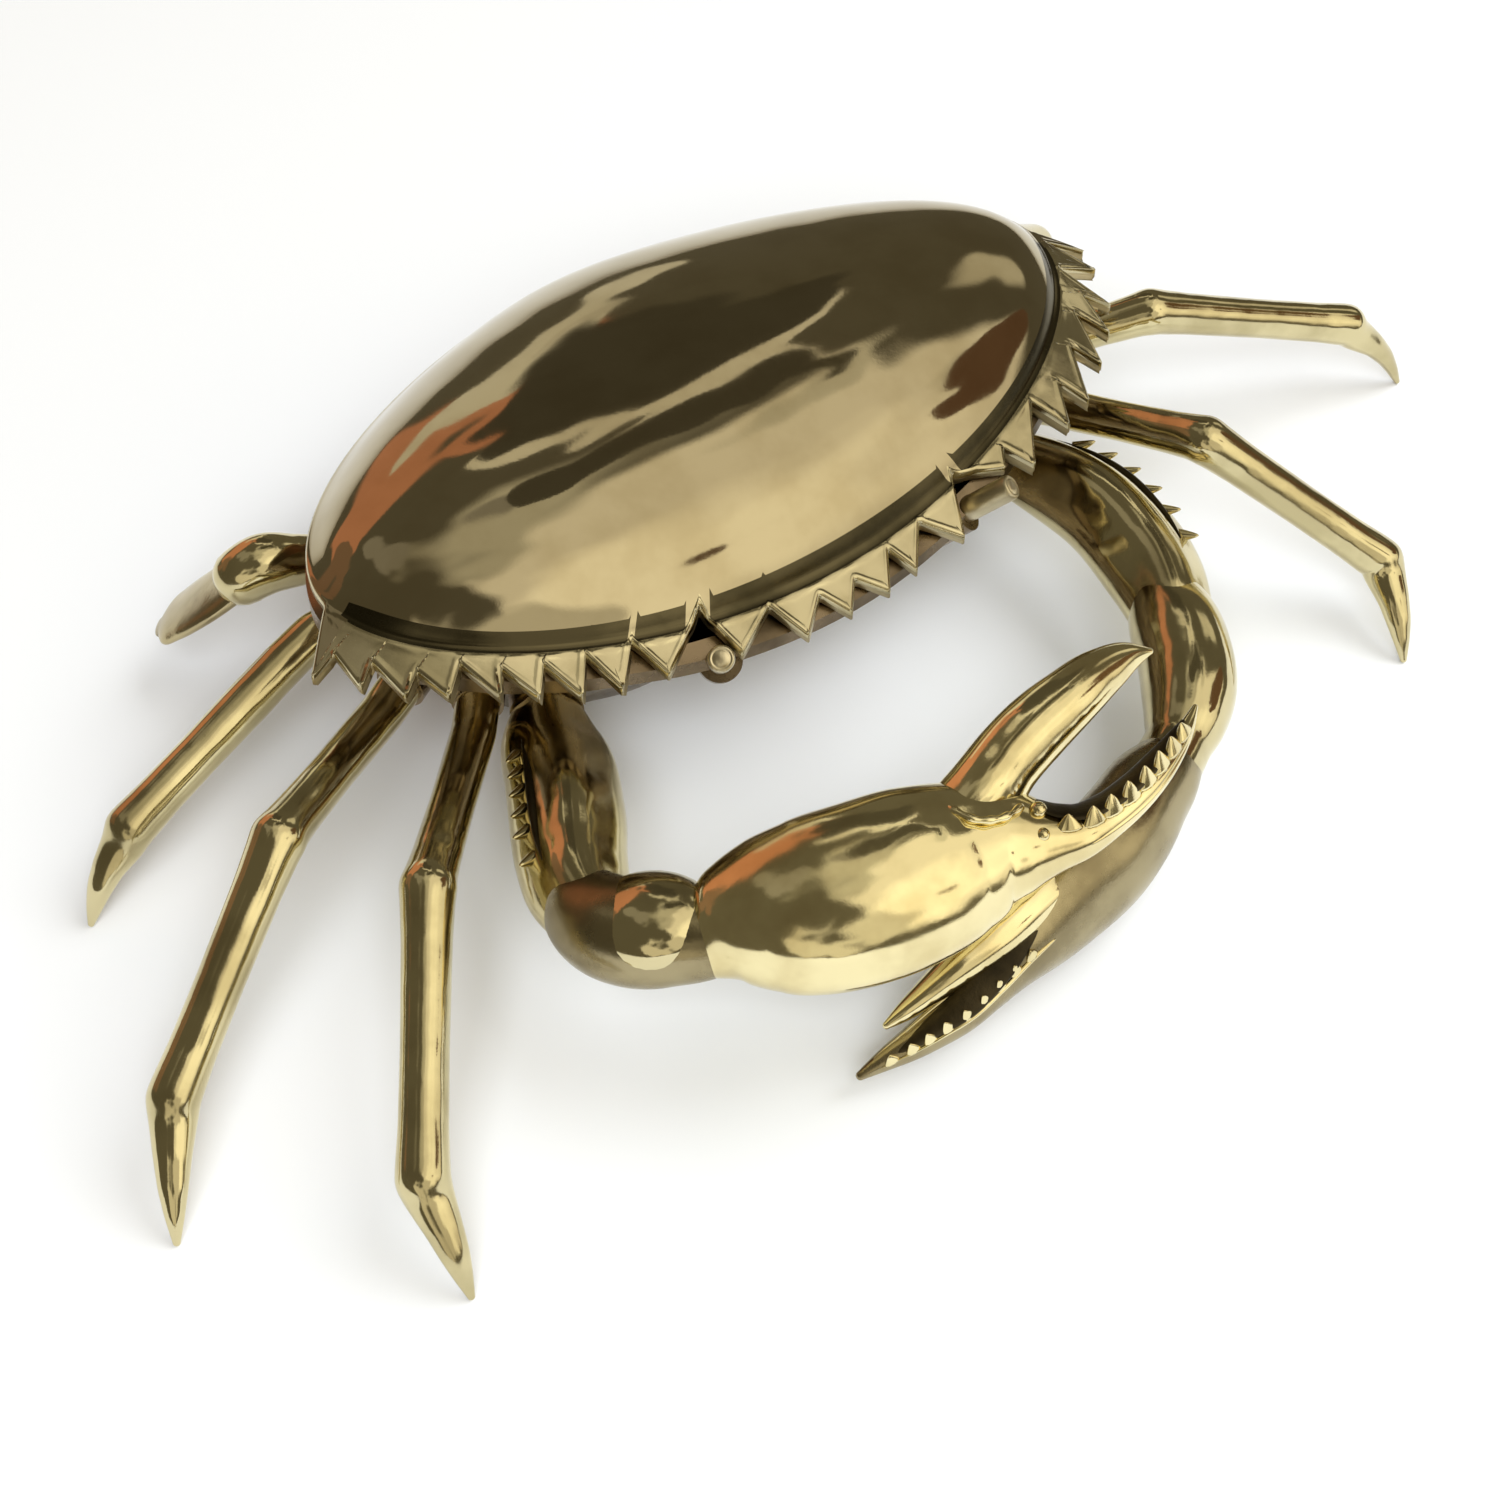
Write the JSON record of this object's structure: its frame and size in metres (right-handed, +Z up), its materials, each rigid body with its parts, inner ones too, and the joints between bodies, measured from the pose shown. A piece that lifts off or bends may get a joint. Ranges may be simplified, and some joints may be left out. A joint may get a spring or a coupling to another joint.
{
  "type": "crab figurine box",
  "caption": "Polished cast crab ornament, claws folded in front and legs spread, whose toothed domed shell hinges up at the rear over a hollow body tray.",
  "frame": {"origin": "on the ground plane, at the middle of the tray's flat foot", "axes": "+Z up; the crab faces -Y, so its claws are towards -Y and its lid hinge towards +Y; +X is the crab's own left side"},
  "size_m": [0.3105, 0.1749, 0.0622],
  "materials": {
    "polished_shell": "mirror polished, aged pale olive brass",
    "tray_brass": "as cast, brushed, darkened in the hollows",
    "limb_brass": "polished with soft satin wear at the tips",
    "claw_brass": "polished tops, satin sides, dark in the tooth roots",
    "eye_brass": "satin rod with a dulled end",
    "hinge_brass": "plain drawn rod",
    "fixings": "plain turned brass"
  },
  "bodies": {
    "tray": {"body_tray": "tray_brass", "hinge_pin": "hinge_brass", "eye_stalk_right": "eye_brass", "eye_stalk_left": "eye_brass", "walking_leg_right_1": "limb_brass", "walking_leg_right_2": "limb_brass", "walking_leg_right_3": "limb_brass", "walking_leg_left_1": "limb_brass", "walking_leg_left_2": "limb_brass", "walking_leg_left_3": "limb_brass", "swimming_leg_right": "limb_brass", "swimming_leg_left": "limb_brass", "claw_arm_right": "claw_brass", "claw_arm_left": "claw_brass", "claw_right": "claw_brass", "claw_left": "claw_brass", "claw_finger_right": "claw_brass", "claw_finger_left": "claw_brass", "limb_screws": "fixings", "limb_washers": "fixings"},
    "lid": {"carapace_lid": "polished_shell"}
  },
  "joints": [
    {"name": "lid_hinge", "type": "hinge", "parent": "tray", "child": "lid", "pos_m": [0, 0.05083, 0.027], "axis": [-1, 0, 0], "range_deg": [0, 100]}
  ]
}
